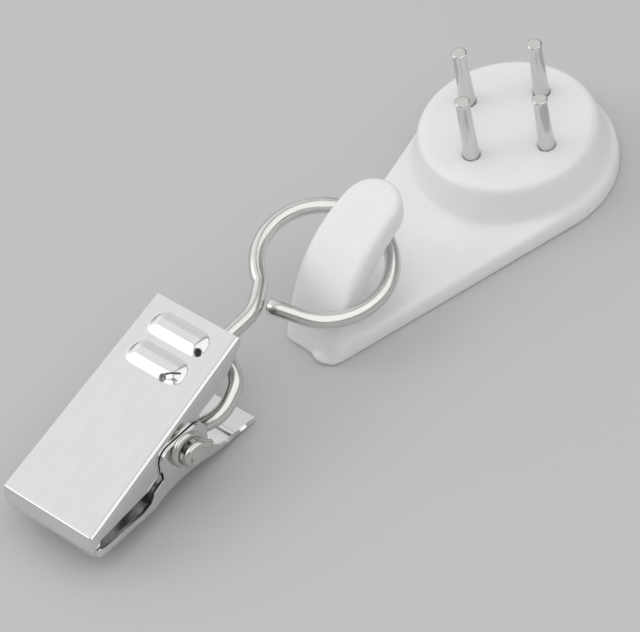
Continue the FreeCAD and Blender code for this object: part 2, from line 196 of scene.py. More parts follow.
def makeMetal(name, finish):
    material, tree, shader, vector = startMaterial(name)
    streaks = readAttribute(tree, finish["attribute"]).outputs["Vector"] if "attribute" in finish else vector
    grain = placeGroup(tree, fineGrain, streaks, {"Stretch": finish["stretch"]})
    glossLow, glossHigh = finish["gloss"]
    mottle = placeGroup(
        tree, softMottle, vector, {"Size": finish["mottleSize"], "Low": glossLow, "High": glossHigh})
    marks = placeGroup(tree, scuffs, vector, {"Size": finish["scuffSize"], "Coverage": finish["scuffs"]})
    tint = blendColours(tree, grain.outputs["Tint"], finish["dark"], finish["light"])
    tint = blendColours(tree, marks.outputs["Mask"], tint, finish["scuffColour"])
    rough = scaleAndAdd(tree, marks.outputs["Mask"], wear["scuffRoughness"], mottle.outputs["Value"])
    # painted shade: the sheet is coloured near black in its dents and creases, and made rougher there
    if "paintedDentShade" in finish:
        paintedDentShade = readAttribute(tree, finish["paintedDentShade"]).outputs["Fac"]
        tint = blendColours(tree, paintedDentShade, tint, finish["paintedShadeColour"])
        rough = scaleAndAdd(tree, paintedDentShade, wear["pitRoughness"], rough)
    bump = addBump(tree, grain.outputs["Height"], finish["bump"], finish["depth"])
    tree.links.new(tint, shader.inputs["Base Color"])
    tree.links.new(rough, shader.inputs["Roughness"])
    tree.links.new(bump, shader.inputs["Normal"])
    shader.inputs["Metallic"].default_value = 1.0
    return material


# bumps are given as strength and depth in metres, and sizes of clouds as their count in a metre
plasticFinish = {
    "dark": (0.855, 0.857, 0.868), "light": (0.88, 0.88, 0.885), "flowSize": 160.0, "glossSize": 520.0,
    "gloss": (0.27, 0.36), "grain": (2600, 2600, 2600), "wave": (0.25, 0.00002), "skin": (0.08, 0.00001),
    "subsurface": 0.2, "subsurfaceRadius": (1.0, 0.95, 0.85), "subsurfaceScale": 0.0012,
}


def makeWhitePlastic(finish):
    material, tree, shader, vector = startMaterial("whitePlastic")
    glossLow, glossHigh = finish["gloss"]
    flow = placeGroup(tree, softMottle, vector, {"Size": finish["flowSize"], "Low": 0.0, "High": 1.0})
    gloss = placeGroup(tree, softMottle, vector, {"Size": finish["glossSize"], "Low": glossLow, "High": glossHigh})
    skin = placeGroup(tree, fineGrain, vector, {"Stretch": finish["grain"]})
    tint = blendColours(tree, flow.outputs["Value"], finish["dark"], finish["light"])
    wave = addBump(tree, flow.outputs["Value"], *finish["wave"])
    bump = addBump(tree, skin.outputs["Height"], *finish["skin"], wave)
    tree.links.new(tint, shader.inputs["Base Color"])
    tree.links.new(gloss.outputs["Value"], shader.inputs["Roughness"])
    tree.links.new(bump, shader.inputs["Normal"])
    shader.inputs["Subsurface Weight"].default_value = finish["subsurface"]
    shader.inputs["Subsurface Radius"].default_value = finish["subsurfaceRadius"]
    shader.inputs["Subsurface Scale"].default_value = finish["subsurfaceScale"]
    return material


floorFinish = {"dark": (0.56, 0.56, 0.56), "light": (0.58, 0.58, 0.58), "cloudSize": 9.0, "roughness": 0.65}


def makeFloorPaint(finish):
    material, tree, shader, vector = startMaterial("floorPaint")
    cloud = placeGroup(tree, softMottle, vector, {"Size": finish["cloudSize"], "Low": 0.0, "High": 1.0})
    tint = blendColours(tree, cloud.outputs["Value"], finish["dark"], finish["light"])
    tree.links.new(tint, shader.inputs["Base Color"])
    shader.inputs["Roughness"].default_value = finish["roughness"]
    return material


sheetFinish = {
    "dark": (0.74, 0.735, 0.725), "light": (0.80, 0.795, 0.785), "scuffColour": (0.86, 0.86, 0.85),
    "stretch": (5200, 620, 5200), "mottleSize": 420.0, "gloss": (0.145, 0.18), "scuffSize": 300.0, "scuffs": 0.25,
    # the near-black colour below is painted shade for the dents and creases
    "bump": 0.10, "depth": 0.000006, "paintedDentShade": "dentShadeMask", "paintedShadeColour": (0.05, 0.05, 0.05),
}
wireFinish = {
    "dark": (0.66, 0.65, 0.63), "light": (0.80, 0.79, 0.765), "scuffColour": (0.85, 0.84, 0.82),
    "stretch": (7.0, 7.0, 0.5), "attribute": "alongWire", "mottleSize": 700.0, "gloss": (0.17, 0.27),
    "scuffSize": 700.0, "scuffs": 0.4, "bump": 0.22, "depth": 0.00001,
}
springFinish = dict(wireFinish, dark=(0.55, 0.54, 0.51), light=(0.72, 0.71, 0.68), gloss=(0.2, 0.3))
pinFinish = {
    "dark": (0.62, 0.615, 0.60), "light": (0.74, 0.735, 0.72), "scuffColour": (0.80, 0.79, 0.77),
    "stretch": (6500, 6500, 420), "mottleSize": 600.0, "gloss": (0.14, 0.22),
    "scuffSize": 800.0, "scuffs": 0.3, "bump": 0.15, "depth": 0.000008,
}
pivotFinish = dict(pinFinish, stretch=(420, 5200, 5200), gloss=(0.24, 0.34))
pinCutFinish = dict(
    pinFinish, dark=(0.66, 0.65, 0.62), light=(0.82, 0.81, 0.78), stretch=(9000, 2200, 9000),
    gloss=(0.3, 0.42), bump=0.5, depth=0.00002)
whitePlastic = makeWhitePlastic(plasticFinish)
nickelSheet = makeMetal("nickelSheet", sheetFinish)
nickelWire = makeMetal("nickelWire", wireFinish)
springSteel = makeMetal("springSteel", springFinish)
pinSteel = makeMetal("pinSteel", pinFinish)
pivotSteel = makeMetal("pivotSteel", pivotFinish)
pinCut = makeMetal("pinCut", pinCutFinish)
print("finishes made")


# mesh helpers
def addObject(name, data):
    made = bpy.data.objects.new(name, data)
    bpy.context.scene.collection.objects.link(made)
    return made


def smoothFaces(mesh):
    for face in mesh.polygons:
        face.use_smooth = True


def addPiece(name, verts, faces, body, material, coords=None, cap=None):
    # coords give each vertex its place round and along a wire, cap is a second material and its faces
    mesh = bpy.data.meshes.new(name)
    mesh.from_pydata([tuple(v * mm) for v in verts], [], faces)
    mesh.materials.append(material)
    if coords is not None:
        layer = mesh.attributes.new("alongWire", "FLOAT_VECTOR", "POINT")
        layer.data.foreach_set("vector", [c for point in coords for c in point])
    smoothFaces(mesh)
    if cap is not None:
        mesh.materials.append(cap[0])
        for index in cap[1]:
            mesh.polygons[index].material_index = 1
    mesh.update()
    piece = addObject(name, mesh)
    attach(piece, body)
    return piece


def span(start, end, count):
    return [start + (end - start) * i / count for i in range(count + 1)]


def ringAngles(sides):
    return [2 * math.pi * k / sides for k in range(sides)]


def ringFaces(first, second, sides):
    # quads between two rings, named by the numbers of their first vertices
    around = [(k, (k + 1) % sides) for k in range(sides)]
    return [(first + k, first + n, second + n, second + k) for k, n in around]


def tubeFaces(rings, sides, closed=True):
    faces = [face for i in range(rings - 1) for face in ringFaces(i * sides, (i + 1) * sides, sides)]
    faces.append(tuple(reversed(range(sides))))
    if closed:
        faces.append(tuple(range((rings - 1) * sides, rings * sides)))
    return faces


def sweep(path, radius, sides=28, chamfer=0.12):
    # a round wire along the path, with chamfered ends
    tangents = []
    for i in range(len(path)):
        a, b = path[max(i - 1, 0)], path[min(i + 1, len(path) - 1)]
        tangents.append((b - a).normalized())
    across = tangents[0].orthogonal().normalized()
    stations = []
    run = 0.0
    for i, (point, tangent) in enumerate(zip(path, tangents)):
        if i:
            run += (point - path[i - 1]).length
            across = (across - tangent * across.dot(tangent)).normalized()
        stations.append((point, tangent, across.copy(), run, radius))
    first, last = stations[0], stations[-1]
    inFirst = (first[0] + first[1] * chamfer, first[1], first[2], chamfer, radius)
    inLast = (last[0] - last[1] * chamfer, last[1], last[2], run - chamfer, radius)
    narrow = (radius - chamfer,)
    rings = [first[:4] + narrow, inFirst] + stations[1:-1] + [inLast, last[:4] + narrow]
    verts, coords = [], []
    for point, tangent, across, along, r in rings:
        other = tangent.cross(across)
        for angle in ringAngles(sides):
            verts.append(point + (across * math.cos(angle) + other * math.sin(angle)) * r)
            coords.append((math.cos(angle), math.sin(angle), along))
    return verts, tubeFaces(len(rings), sides), coords


def roundCorners(corners, reach=0.45, step=6.0):
    # straight runs joined by tangent arcs, as wire is bent; step is in degrees
    points = [corners[0]]
    for a, b, c in zip(corners, corners[1:], corners[2:]):
        toA, toC = (a - b).normalized(), (c - b).normalized()
        turn = math.pi - toA.angle(toC)
        tangent = reach * min((a - b).length, (c - b).length)
        radius = tangent / math.tan(turn / 2)
        centre = b + (toA + toC).normalized() * (radius / math.cos(turn / 2))
        start, end = b + toA * tangent - centre, b + toC * tangent - centre
        count = max(2, int(math.degrees(turn) / step))
        for k in range(count + 1):
            points.append(centre + start.slerp(end, k / count).normalized() * radius)
    points.append(corners[-1])
    return points


def circleThrough(a, b, c):
    # middle and radius of the circle through three points
    ax, ay, bx, by, cx, cy = *a, *b, *c
    aa, bb, cc = ax * ax + ay * ay, bx * bx + by * by, cx * cx + cy * cy
    d = 2 * (ax * (by - cy) + bx * (cy - ay) + cx * (ay - by))
    x = (aa * (by - cy) + bb * (cy - ay) + cc * (ay - by)) / d
    y = (aa * (cx - bx) + bb * (ax - cx) + cc * (bx - ax)) / d
    return x, y, math.hypot(ax - x, ay - y)


# bent wire: ring round the tongue, neck, eye round the clip's pivot; angles on the ring are in degrees
wire = {
    "thick": 1.5, "ringMiddle": (-1.26, -23.16, 7.0), "ringRadius": 6.11, "ringTilt": 13.9,
    "ringFrom": -65.0, "ringTo": 237.5, "ringSteps": 76,
    "endRun": 3.35, "endTurn": -3.0, "endParts": (1.0, 0.66, 0.33), "neckRun": 0.78,
    "corners": [
        (-2.03, -31.32, 7.45), (-1.78, -36.59, 7.70), (-6.19, -37.98, 8.11), (-6.39, -42.00, 7.20),
        (-4.59, -45.74, 6.66), (-3.56, -48.26, 5.76), (-2.45, -47.10, 3.32), (-2.40, -43.06, 3.35),
        (0.36, -42.28, 3.61), (1.81, -39.88, 4.41), (1.11, -37.13, 5.61), (-1.09, -36.08, 6.31)],
}


def makeWire():
    tilt = math.radians(wire["ringTilt"])
    across, along = Vector((math.cos(tilt), 0, -math.sin(tilt))), Vector((0, 1, 0))
    middle, radius = Vector(wire["ringMiddle"]), wire["ringRadius"]
    ringFrom, ringTo = wire["ringFrom"], wire["ringTo"]

    def onRing(degrees, radius):
        angle = math.radians(degrees)
        return across * (radius * math.cos(angle)) + along * (radius * math.sin(angle))

    heading = -onRing(ringFrom + wire["endTurn"] + 90, 1)
    first = middle + onRing(ringFrom, radius)
    path = [first + heading * wire["endRun"] * part for part in wire["endParts"]]
    path += [middle + onRing(angle, radius) for angle in span(ringFrom, ringTo, wire["ringSteps"])]
    leave = path[-1]
    corners = [leave, leave + onRing(ringTo + 90, wire["neckRun"])] + [Vector(c) for c in wire["corners"]]
    path += roundCorners(corners)[1:]
    verts, faces, coords = sweep(path, wire["thick"] / 2)
    piece = addPiece("bentWire", verts, faces, "wire", nickelWire, coords)
    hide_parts("wire_hook")
    return piece


makeWire()
print("wire bent")


# steel pins, cut off square by a shear: lower gives radius and height, neck and head radius and drop from the top
pins = {
    "middle": 4.91, "radius": 0.75, "widest": 0.785,
    "lower": [(0.06, 0.4), (0.12, 0.43), (0.73, 1.95), (0.75, 2.05), (0.75, 5.81), (0.78, 6.06), (0.77, 6.51)],
    "neck": (0.65, 0.6), "neckParts": (0.2, 0.4, 0.6, 0.8, 1.0), "neckPower": 0.7,
    "head": [(0.67, 0.4), (0.70, 0.22), (0.72, 0.12), (0.72, 0.06), (0.62, 0.01), (0.56, 0.0)],
    "ragged": 0.02, "raggedDrop": 0.2, "raggedSize": 3, "capRings": (0.45, 0.2), "capDrop": 0.02, "capSize": 2,
    "tops": {"left": 12.29, "top": 12.17, "bottom": 12.89, "right": 11.93},
    "towards": {"left": (-1, 0), "top": (0, 1), "bottom": (0, -1), "right": (1, 0)},
}


def makePin(side, sides=40):
    x, y = (pins["middle"] * c for c in pins["towards"][side])
    top = pins["tops"][side]
    (footR, footZ), (neckR, neckDrop) = pins["lower"][-1], pins["neck"]
    profile = list(pins["lower"])
    for part in pins["neckParts"]:
        profile.append((
            footR - (footR - neckR) * part ** pins["neckPower"], footZ + (top - neckDrop - footZ) * part))
    profile += [(r, top - drop) for r, drop in pins["head"]]
    verts = []
    for r, z in profile:
        for angle in ringAngles(sides):
            spread = r
            if z > top - pins["raggedDrop"]:
                reach = pins["raggedSize"]
                at = Vector((x + reach * math.cos(angle), y + reach * math.sin(angle), z))
                spread = r * (1 + pins["ragged"] * noise.noise(at))
            spread = min(spread, pins["widest"])
            verts.append(Vector((x + spread * math.cos(angle), y + spread * math.sin(angle), z)))
    faces = tubeFaces(len(profile), sides, closed=False)
    capStart = len(faces)
    previous = (len(profile) - 1) * sides
    for share in pins["capRings"]:
        start = len(verts)
        for angle in ringAngles(sides):
            px, py = pins["radius"] * share * math.cos(angle), pins["radius"] * share * math.sin(angle)
            dip = pins["ragged"] * noise.noise(Vector((px * pins["capSize"], py * pins["capSize"], x - y)))
            verts.append(Vector((x + px, y + py, top - pins["capDrop"] + dip)))
        faces += ringFaces(previous, start, sides)
        previous = start
    faces.append(tuple(range(previous, previous + sides)))
    piece = addPiece("steelPin" + side.capitalize(), verts, faces, side + "_pin", pinSteel,
                     cap=(pinCut, range(capStart, len(faces))))
    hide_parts("pin_" + side)
    return piece


for side in pins["tops"]:
    makePin(side)
print("pins cut")


# the clip's own frame: the lower jaw lies flat in it, x to the right, y towards the handles; angles in degrees
clip = {
    "pivot": (-3.3268, -45.3431, 5.3586), "pitch": -7.3, "yaw": 3.43, "pivotHeight": 4.25,
    "sheet": 0.3, "wallGap": 0.1, "edgeRound": 0.04, "edgeAngle": 50,
    "bendSteps": 6, "cornerBlend": 1.5, "rowGap": 0.05, "weld": 0.0001,
    "frontHalf": 5.45, "backHalf": 4.95, "frontY": -11.7, "backY": 8.7, "mouthY": -12.05,
}
clipPlace = (
    Matrix.Translation(clip["pivot"]) @ Matrix.Rotation(math.radians(clip["yaw"]), 4, "Z")
    @ Matrix.Rotation(math.radians(clip["pitch"]), 4, "X") @ Matrix.Translation((0, 0, -clip["pivotHeight"])))


def halfWidth(y, grow=0.0):
    slope = (clip["backHalf"] - clip["frontHalf"]) / (clip["backY"] - clip["frontY"])
    return clip["frontHalf"] + slope * (y - clip["frontY"]) + grow


earOut = halfWidth(0) + clip["wallGap"] + clip["sheet"]


def roundPlan(verts, radius, half):
    # seen from above, the two front corners of the sheet are rounded
    for v in verts:
        u = (abs(v.x) - half) / radius + 1
        w = (clip["mouthY"] - v.y) / radius + 1
        if u > 0 and w > 0:
            draw = max(u, w) / math.hypot(u, w)
            v.x = math.copysign(half - radius + u * draw * radius, v.x)
            v.y = clip["mouthY"] + radius - w * draw * radius


def sheetMesh(name, verts, faces, dentShadeMask, wallSide):
    work = bmesh.new()
    # the painted shade of the dents and creases goes onto the mesh as a vertex attribute
    layer = work.verts.layers.float.new("dentShadeMask")
    made = [work.verts.new(v) for v in verts]
    for vert, shadeAmount in zip(made, dentShadeMask):
        vert[layer] = shadeAmount
    for face in faces:
        if len(face) > 2:
            work.faces.new([made[i] for i in face])
    bmesh.ops.remove_doubles(work, verts=work.verts, dist=clip["weld"])
    bmesh.ops.recalc_face_normals(work, faces=work.faces)
    # the largest level quad lies in the plate, whose outer side faces away from the walls
    probe = max(work.faces, key=lambda f: abs(f.normal.z) * f.calc_area() if len(f.verts) == 4 else 0)
    if probe.normal.z * -wallSide < 0:
        bmesh.ops.reverse_faces(work, faces=work.faces)
    work.transform(Matrix.Scale(mm, 4) @ clipPlace)
    mesh = bpy.data.meshes.new(name)
    work.to_mesh(mesh)
    work.free()
    smoothFaces(mesh)
    return mesh


def foldSheet(name, jaw, body, material):
    # one stamped sheet: a plate, a bend all round three sides, two side walls and a front lip
    wallSide, frontR, columns, steps = jaw["wallSide"], jaw["frontBend"], jaw["columns"], clip["bendSteps"]
    radii = {-1: jaw["leftBend"], 1: jaw["rightBend"]}
    verts, faces, dentShadeMask = [], [], []

    # each vertex keeps the painted shade of its dent or crease
    def add(x, y, z, shadeAmount=0.0):
        verts.append(Vector((x, y, z)))
        dentShadeMask.append(shadeAmount)
        return len(verts) - 1

    def outward(theta):
        return Vector((0, -math.sin(theta), -wallSide * math.cos(theta)))

    def quads(lower, upper):
        for a, b, c, d in zip(lower, lower[1:], upper[1:], upper):
            faces.append(tuple(dict.fromkeys((a, b, c, d))))

    # the front bend leads from the plate's slope to the lip's
    corner = Vector((0, jaw["cornerY"], jaw["plateZ"](jaw["cornerY"])))
    lip = Vector((0, clip["mouthY"], jaw["lipZ"]))
    fall = (lip - corner).normalized()
    plateTilt = jaw["tilt"](jaw["cornerY"])
    lipTilt = math.atan2(abs(fall.z), abs(fall.y))
    turn = lipTilt - plateTilt
    centre = corner - outward((plateTilt + lipTilt) / 2) * (frontR / math.cos(turn / 2))
    firstY = centre.y + outward(plateTilt).y * frontR
    rows = [firstY] + [y for y in jaw["rows"] if y > firstY + clip["rowGap"]]
    # the plate and its two side bends, row by row
    grid, bends = [], {-1: [], 1: []}
    for y in rows:
        half = halfWidth(y, jaw["grow"])
        z, up, fold = jaw["plateZ"](y), outward(jaw["tilt"](y)), jaw["fold"](y)
        line = []
        for i in range(columns + 1):
            x = radii[-1] - half + (2 * half - radii[-1] - radii[1]) * i / columns
            height, shadeAmount = jaw["emboss"](x, y)
            lift = height * up
            line.append(add(x, y + lift.y, z + lift.z, shadeAmount))
        grid.append(line)
        for hand, start in ((-1, line[0]), (1, line[-1])):
            r, arc = radii[hand], [start]
            for k in range(1, steps + 1):
                phi = math.pi / 2 * k / steps
                x = half - r + r * (fold * math.sin(phi) + (1 - fold) * k / steps)
                drop = up * (r * fold * (math.cos(phi) - 1))
                arc.append(add(hand * x, y + drop.y, z + drop.z))
            bends[hand].append(arc)
    for j in range(len(rows) - 1):
        quads(grid[j], grid[j + 1])
        quads(bends[1][j], bends[1][j + 1])
        quads(list(reversed(bends[-1][j])), list(reversed(bends[-1][j + 1])))
    # front bend and lip
    half = halfWidth(firstY, jaw["grow"])
    xs = span(radii[-1] - half, half - radii[1], columns)
    front = [grid[0]]
    for k in range(1, steps + 1):
        point = centre + outward(plateTilt + turn * k / steps) * frontR
        line = [add(x, point.y, point.z) for x in xs]
        quads(line, front[-1])
        front.append(line)
    edge = [add(x, lip.y, lip.z) for x in xs]
    quads(edge, front[-1])
    # the two rounded front corners
    up, forward = outward(plateTilt), outward(plateTilt + math.pi / 2)
    bottoms = {}
    for hand, end in ((-1, 0), (1, -1)):
        r, side = radii[hand], Vector((hand, 0, 0))
        first = bends[hand][0]
        corners = [first]
        for j in range(1, steps):
            psi = math.pi / 2 * j / steps
            reach = math.pi / 2 + (turn - math.pi / 2) * (j / steps) ** clip["cornerBlend"]
            blendR = r + (frontR - r) * j / steps
            meridian = [first[0]]
            for k in range(1, steps + 1):
                phi = reach * k / steps
                swing = up * (math.cos(phi) - 1) + (side * math.cos(psi) + forward * math.sin(psi)) * math.sin(phi)
                meridian.append(add(*(verts[first[0]] + swing * blendR)))
            corners.append(meridian)
        corners.append([line[end] for line in front])
        base = []
        for j in range(steps):
            psi = math.pi / 2 * j / steps
            base.append(add(hand * (half - r + r * math.cos(psi)), lip.y + r * (1 - math.sin(psi)), lip.z))
        base.append(edge[end])
        for a, b in zip(corners, corners[1:]):
            quads(a, b)
        quads([line[-1] for line in corners], base)
        bottoms[hand] = base[0]
    # side walls, flat but for their front ends, which follow the rounded corners
    wallStart, wallEnd, near = jaw["wallStart"], jaw["wallEnd"], 1e-6
    for hand in (-1, 1):
        ends = [(y, arc[-1]) for y, arc in zip(rows, bends[hand])]
        ahead = [end for y, end in ends if y < wallStart + near]
        top = [end for y, end in ends if wallStart - near < y <= wallEnd + near]
        free = [add(hand * halfWidth(y, jaw["grow"]), y, z) for y, z in jaw["freeEdge"]]
        faces.append(tuple(top + free))
        faces.append(tuple(ahead + [free[-1], bottoms[hand]]))
    roundPlan(verts, jaw["planRound"], halfWidth(clip["mouthY"], jaw["grow"]))
    mesh = sheetMesh(name, verts, faces, dentShadeMask, wallSide)
    mesh.materials.append(material)
    piece = addObject(name, mesh)
    thicken = piece.modifiers.new("sheetThickness", "SOLIDIFY")
    thicken.thickness = clip["sheet"] * mm
    thicken.offset = -1
    thicken.use_even_offset = True
    soften = piece.modifiers.new("edgeRound", "BEVEL")
    soften.width = clip["edgeRound"] * mm
    soften.segments = 2
    soften.limit_method = "ANGLE"
    soften.angle_limit = math.radians(clip["edgeAngle"])
    soften.harden_normals = True
    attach(piece, body)
    return piece


# upper jaw: pressed grip ribs on the handle, walls hanging down
upperPlate = {"frontZ": 2.4, "backZ": 10.15}
upperSlope = (upperPlate["backZ"] - upperPlate["frontZ"]) / (clip["backY"] - clip["frontY"])
ribs = {
    "crests": (2.62, 5.80), "from": -2.45, "to": 1.75, "endRound": 1.18, "towardsMouth": 0.92,
    "towardsHandle": 1.6, "height": 0.38, "soften": 0.07, "power": 1.4, "mouthLean": 0.35, "handleLean": 0.25,
}
dentsAndPaintedShade = {
    # across, along the sheet, radius, depth, darkness of the painted shade laid in the dent
    "dents": [(2.47, 2.99, 0.42, 0.16, 1.0), (1.13, 6.50, 0.40, 0.12, 0.75)],
    # from, to, half width, depth, darkness of the painted shade laid in the crease
    "creases": [((1.24, 6.12), (2.39, 5.41), 0.11, 0.05, 1.0), ((1.5, 6.5), (2.5, 6.1), 0.09, 0.03, 0.5)],
    "dentPower": 1.2, "dentEdge": 4, "creaseEdge": 2.5,
}


def pressRibs(x, y):
    # height of the sheet over its flat, and how dark the painted shade in its dents and creases is there
    along = (clip["backY"] - y) / math.cos(math.atan(upperSlope))
    here = Vector((x, along))
    height, shadeAmount = 0.0, 0.0
    for crest in ribs["crests"]:
        side = (along - crest) / (ribs["towardsMouth"] if along > crest else ribs["towardsHandle"])
        across = max(ribs["from"] - x, x - ribs["to"], 0) / ribs["endRound"]
        reach = math.hypot(across, side)
        lean = side / reach if reach > 0 else 0.0
        power = ribs["power"] - ribs["mouthLean"] * lean + max(0.0, -lean) * ribs["handleLean"]
        rise = 1 - reach ** power
        height += ribs["height"] * 0.5 * (rise + math.hypot(rise, ribs["soften"]))
    for dentX, dentAlong, radius, depth, dark in dentsAndPaintedShade["dents"]:
        distance = math.hypot(x - dentX, along - dentAlong) / radius
        if distance < 1:
            height -= depth * (1 - distance ** 2) ** dentsAndPaintedShade["dentPower"]
            # painted shade: the dent is coloured darker from its rim inwards
            shadeAmount = max(shadeAmount, dark * min(1.0, (1 - distance) * dentsAndPaintedShade["dentEdge"]))
    for start, end, width, depth, dark in dentsAndPaintedShade["creases"]:
        start, end = Vector(start), Vector(end)
        run = end - start
        part = max(0, min(1, (here - start).dot(run) / run.length_squared))
        distance = (here - start - run * part).length / width
        if distance < 1:
            height -= depth * (1 - distance)
            # painted shade: the crease is coloured darker towards its line
            shadeAmount = max(shadeAmount, dark * min(1.0, (1 - distance) * dentsAndPaintedShade["creaseEdge"]))
    return height, shadeAmount


def upperArc(half=2.4, ends=3.4, lowest=1.45):
    # the walls hang lower round the pivot
    centreZ, radius = circleThrough((half, ends), (0, lowest), (-half, ends))[1:]
    start = math.atan2(ends - centreZ, half)
    return [(radius * math.cos(a), centreZ + radius * math.sin(a)) for a in span(start, -math.pi - start, 14)]


upperJaw = {
    "wallSide": -1, "leftBend": 0.2, "rightBend": 0.45, "frontBend": 0.2, "planRound": 0.45, "grow": 0.0,
    "cornerY": -11.7, "lipZ": 1.06, "columns": 110, "wallStart": -11.0, "wallEnd": 8.7,
    "plateZ": lambda y: upperPlate["frontZ"] + (y - clip["frontY"]) * upperSlope,
    "tilt": lambda y: math.atan(upperSlope),
    "fold": lambda y: 1.0,
    "emboss": pressRibs,
    "rows": span(-11.0, 0.8, 20) + span(0.8, 8.4, 96)[1:] + [8.7],
    "freeEdge": [(8.65, 9.35), (6.25, 6.95), (4.6, 6.37), (2.4, 5.6)] + upperArc()
                + [(-4.6, 2.3), (-10.85, 1.6), (-11.0, 1.06)],
}

# lower jaw: walls and ears standing up, arched between the ears, flat handle with a crease across it
lowerPlate = {
    "archFrom": -4.5, "archCrest": (-0.9, 0.75), "archTo": 2.9, "archEndZ": 0.3, "flatFrom": 5.2,
    "creaseFrom": 5.9, "creaseTo": 6.5, "creaseZ": 0.1, "creaseRise": 0.4, "creaseFall": 0.2,
    "bendEnd": 9.0, "bendFade": 2.7, "earRound": 1.3,
}
archY, archZ, archRadius = circleThrough(
    (lowerPlate["archFrom"], 0), lowerPlate["archCrest"], (lowerPlate["archTo"], lowerPlate["archEndZ"]))


def lowerHeight(y):
    archTo, flatFrom = lowerPlate["archTo"], lowerPlate["flatFrom"]
    creaseFrom, creaseTo = lowerPlate["creaseFrom"], lowerPlate["creaseTo"]
    if lowerPlate["archFrom"] < y <= archTo:
        return archZ + math.sqrt(archRadius ** 2 - (y - archY) ** 2)
    if archTo < y < flatFrom:
        return lowerPlate["archEndZ"] * (flatFrom - y) / (flatFrom - archTo)
    if creaseFrom < y < creaseTo:
        rise, fall = (y - creaseFrom) / lowerPlate["creaseRise"], (creaseTo - y) / lowerPlate["creaseFall"]
        return lowerPlate["creaseZ"] * min(rise, fall)
    return 0.0


def lowerTilt(y, step=0.05):
    slope = (lowerHeight(y + step) - lowerHeight(y - step)) / (2 * step)
    return -math.atan(slope)


def earCorner(y, z, start):
    r = lowerPlate["earRound"]
    angles = span(math.radians(start), math.radians(start + 90), 6)
    return [(y + r * math.cos(a), z + r * math.sin(a)) for a in angles]


lowerJaw = {
    "wallSide": 1, "leftBend": 0.3, "rightBend": 0.3, "frontBend": 0.3, "planRound": 1.3, "grow": 0.4,
    "cornerY": -11.75, "lipZ": 0.94, "columns": 60, "wallStart": -10.7, "wallEnd": 6.3,
    "plateZ": lowerHeight,
    "tilt": lowerTilt,
    "fold": lambda y: max(0.0, min(1.0, (lowerPlate["bendEnd"] - y) / lowerPlate["bendFade"])),
    "emboss": lambda x, y: (0.0, 0.0),
    "rows": [-11.4, -11.2, -11.0, -10.85, -10.7] + span(-10.0, -4.6, 7) + span(-4.4, 2.8, 24)
            + [3.1, 3.6, 4.1, 4.6, 5.2, 5.6, 5.9, 6.1, 6.3, 6.5, 6.7, 6.9, 7.1, 7.4, 8.0, 9.0],
    "freeEdge": [(5.2, 0.44), (4.4, 0.70), (3.5, 1.40), (2.9, 1.92)]
                + earCorner(1.6, 4.1, 0) + earCorner(-1.6, 4.1, 90)
                + [(-2.9, 2.5), (-4.2, 1.92), (-4.75, 1.21), (-5.9, 0.85), (-10.7, 0.94)],
}
upperShell = foldSheet("upperJawSheet", upperJaw, "clip_upper", nickelSheet)
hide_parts("upper_jaw")
lowerShell = foldSheet("lowerJawSheet", lowerJaw, "clip_lower", nickelSheet)
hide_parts("lower_jaw")
print("jaws folded")


# torsion spring outside the right ear: its turns draw in round the pivot's long end
spring = {
    "thick": 0.76, "turns": 1.46, "from": 220.0, "stepsInTurn": 40, "innerTurn": 1.5, "outerTurn": 1.09,
    "drawFrom": 0.3, "drawOver": 0.75, "pitch": 1.155, "pitchFrom": 0.28, "gap": 0.02, "tail": 1.0,
    "tailParts": (0.33, 0.66, 1.0), "legIn": (0.25, 0.05), "legReach": 0.5, "legStep": 12,
    "sides": 24, "chamfer": 0.1,
}


def makeSpring():
    radius = spring["thick"] / 2
    coil = []
    count = int(spring["turns"] * spring["stepsInTurn"])
    for i in range(count + 1):
        turn = spring["turns"] * i / count
        angle = math.radians(spring["from"] - 360 * turn)
        drawIn = max(0.0, min(1.0, (turn - spring["drawFrom"]) / spring["drawOver"]))
        r = spring["innerTurn"] + (spring["outerTurn"] - spring["innerTurn"]) * drawIn
        x = earOut + spring["gap"] + radius + spring["pitch"] * max(0.0, turn - spring["pitchFrom"])
        coil.append(Vector((x, r * math.cos(angle), r * math.sin(angle))))
    # the inner leg comes out of the ear and bends into the first turn
    start = coil[0]
    legEnd = Vector((earOut, start.y, start.z))
    path = [Vector((earOut - depth, start.y, start.z)) for depth in spring["legIn"]]
    legCorner = start - (coil[1] - start) * 0.5
    path += roundCorners([legEnd, legCorner, coil[3]], spring["legReach"], spring["legStep"]) + coil[4:]
    heading = (coil[-1] - coil[-2]).normalized()
    path += [coil[-1] + heading * spring["tail"] * part for part in spring["tailParts"]]
    moved = [clipPlace @ Vector((p.x, p.y, p.z + clip["pivotHeight"])) for p in path]
    verts, faces, coords = sweep(moved, radius, spring["sides"], spring["chamfer"])
    piece = addPiece("torsionSpring", verts, faces, "clip_upper", springSteel, coords)
    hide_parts("spring_right")
    return piece


makeSpring()

# pivot, riveted on the left and domed on the right: each pair is a radius and a distance, from the rivet's end
# for rivetEnd and out from the ear for rivetFoot and shoulder
pivot = {
    "rivetOut": 0.45, "rivetEnd": [(0.12, 0.0), (0.45, 0.02), (0.66, 0.09), (0.76, 0.18), (0.8, 0.27)],
    "rivetFoot": [(0.78, 0.13), (0.74, 0.11), (0.5, 0.10)], "shoulder": [(0.5, 0.05), (0.66, 0.1)], "tip": 7.22,
    "dome": 0.3, "domeLead": 0.05, "domeSteps": 7, "domeFlat": 0.35, "domePower": 0.8, "tipRadius": 0.1,
}


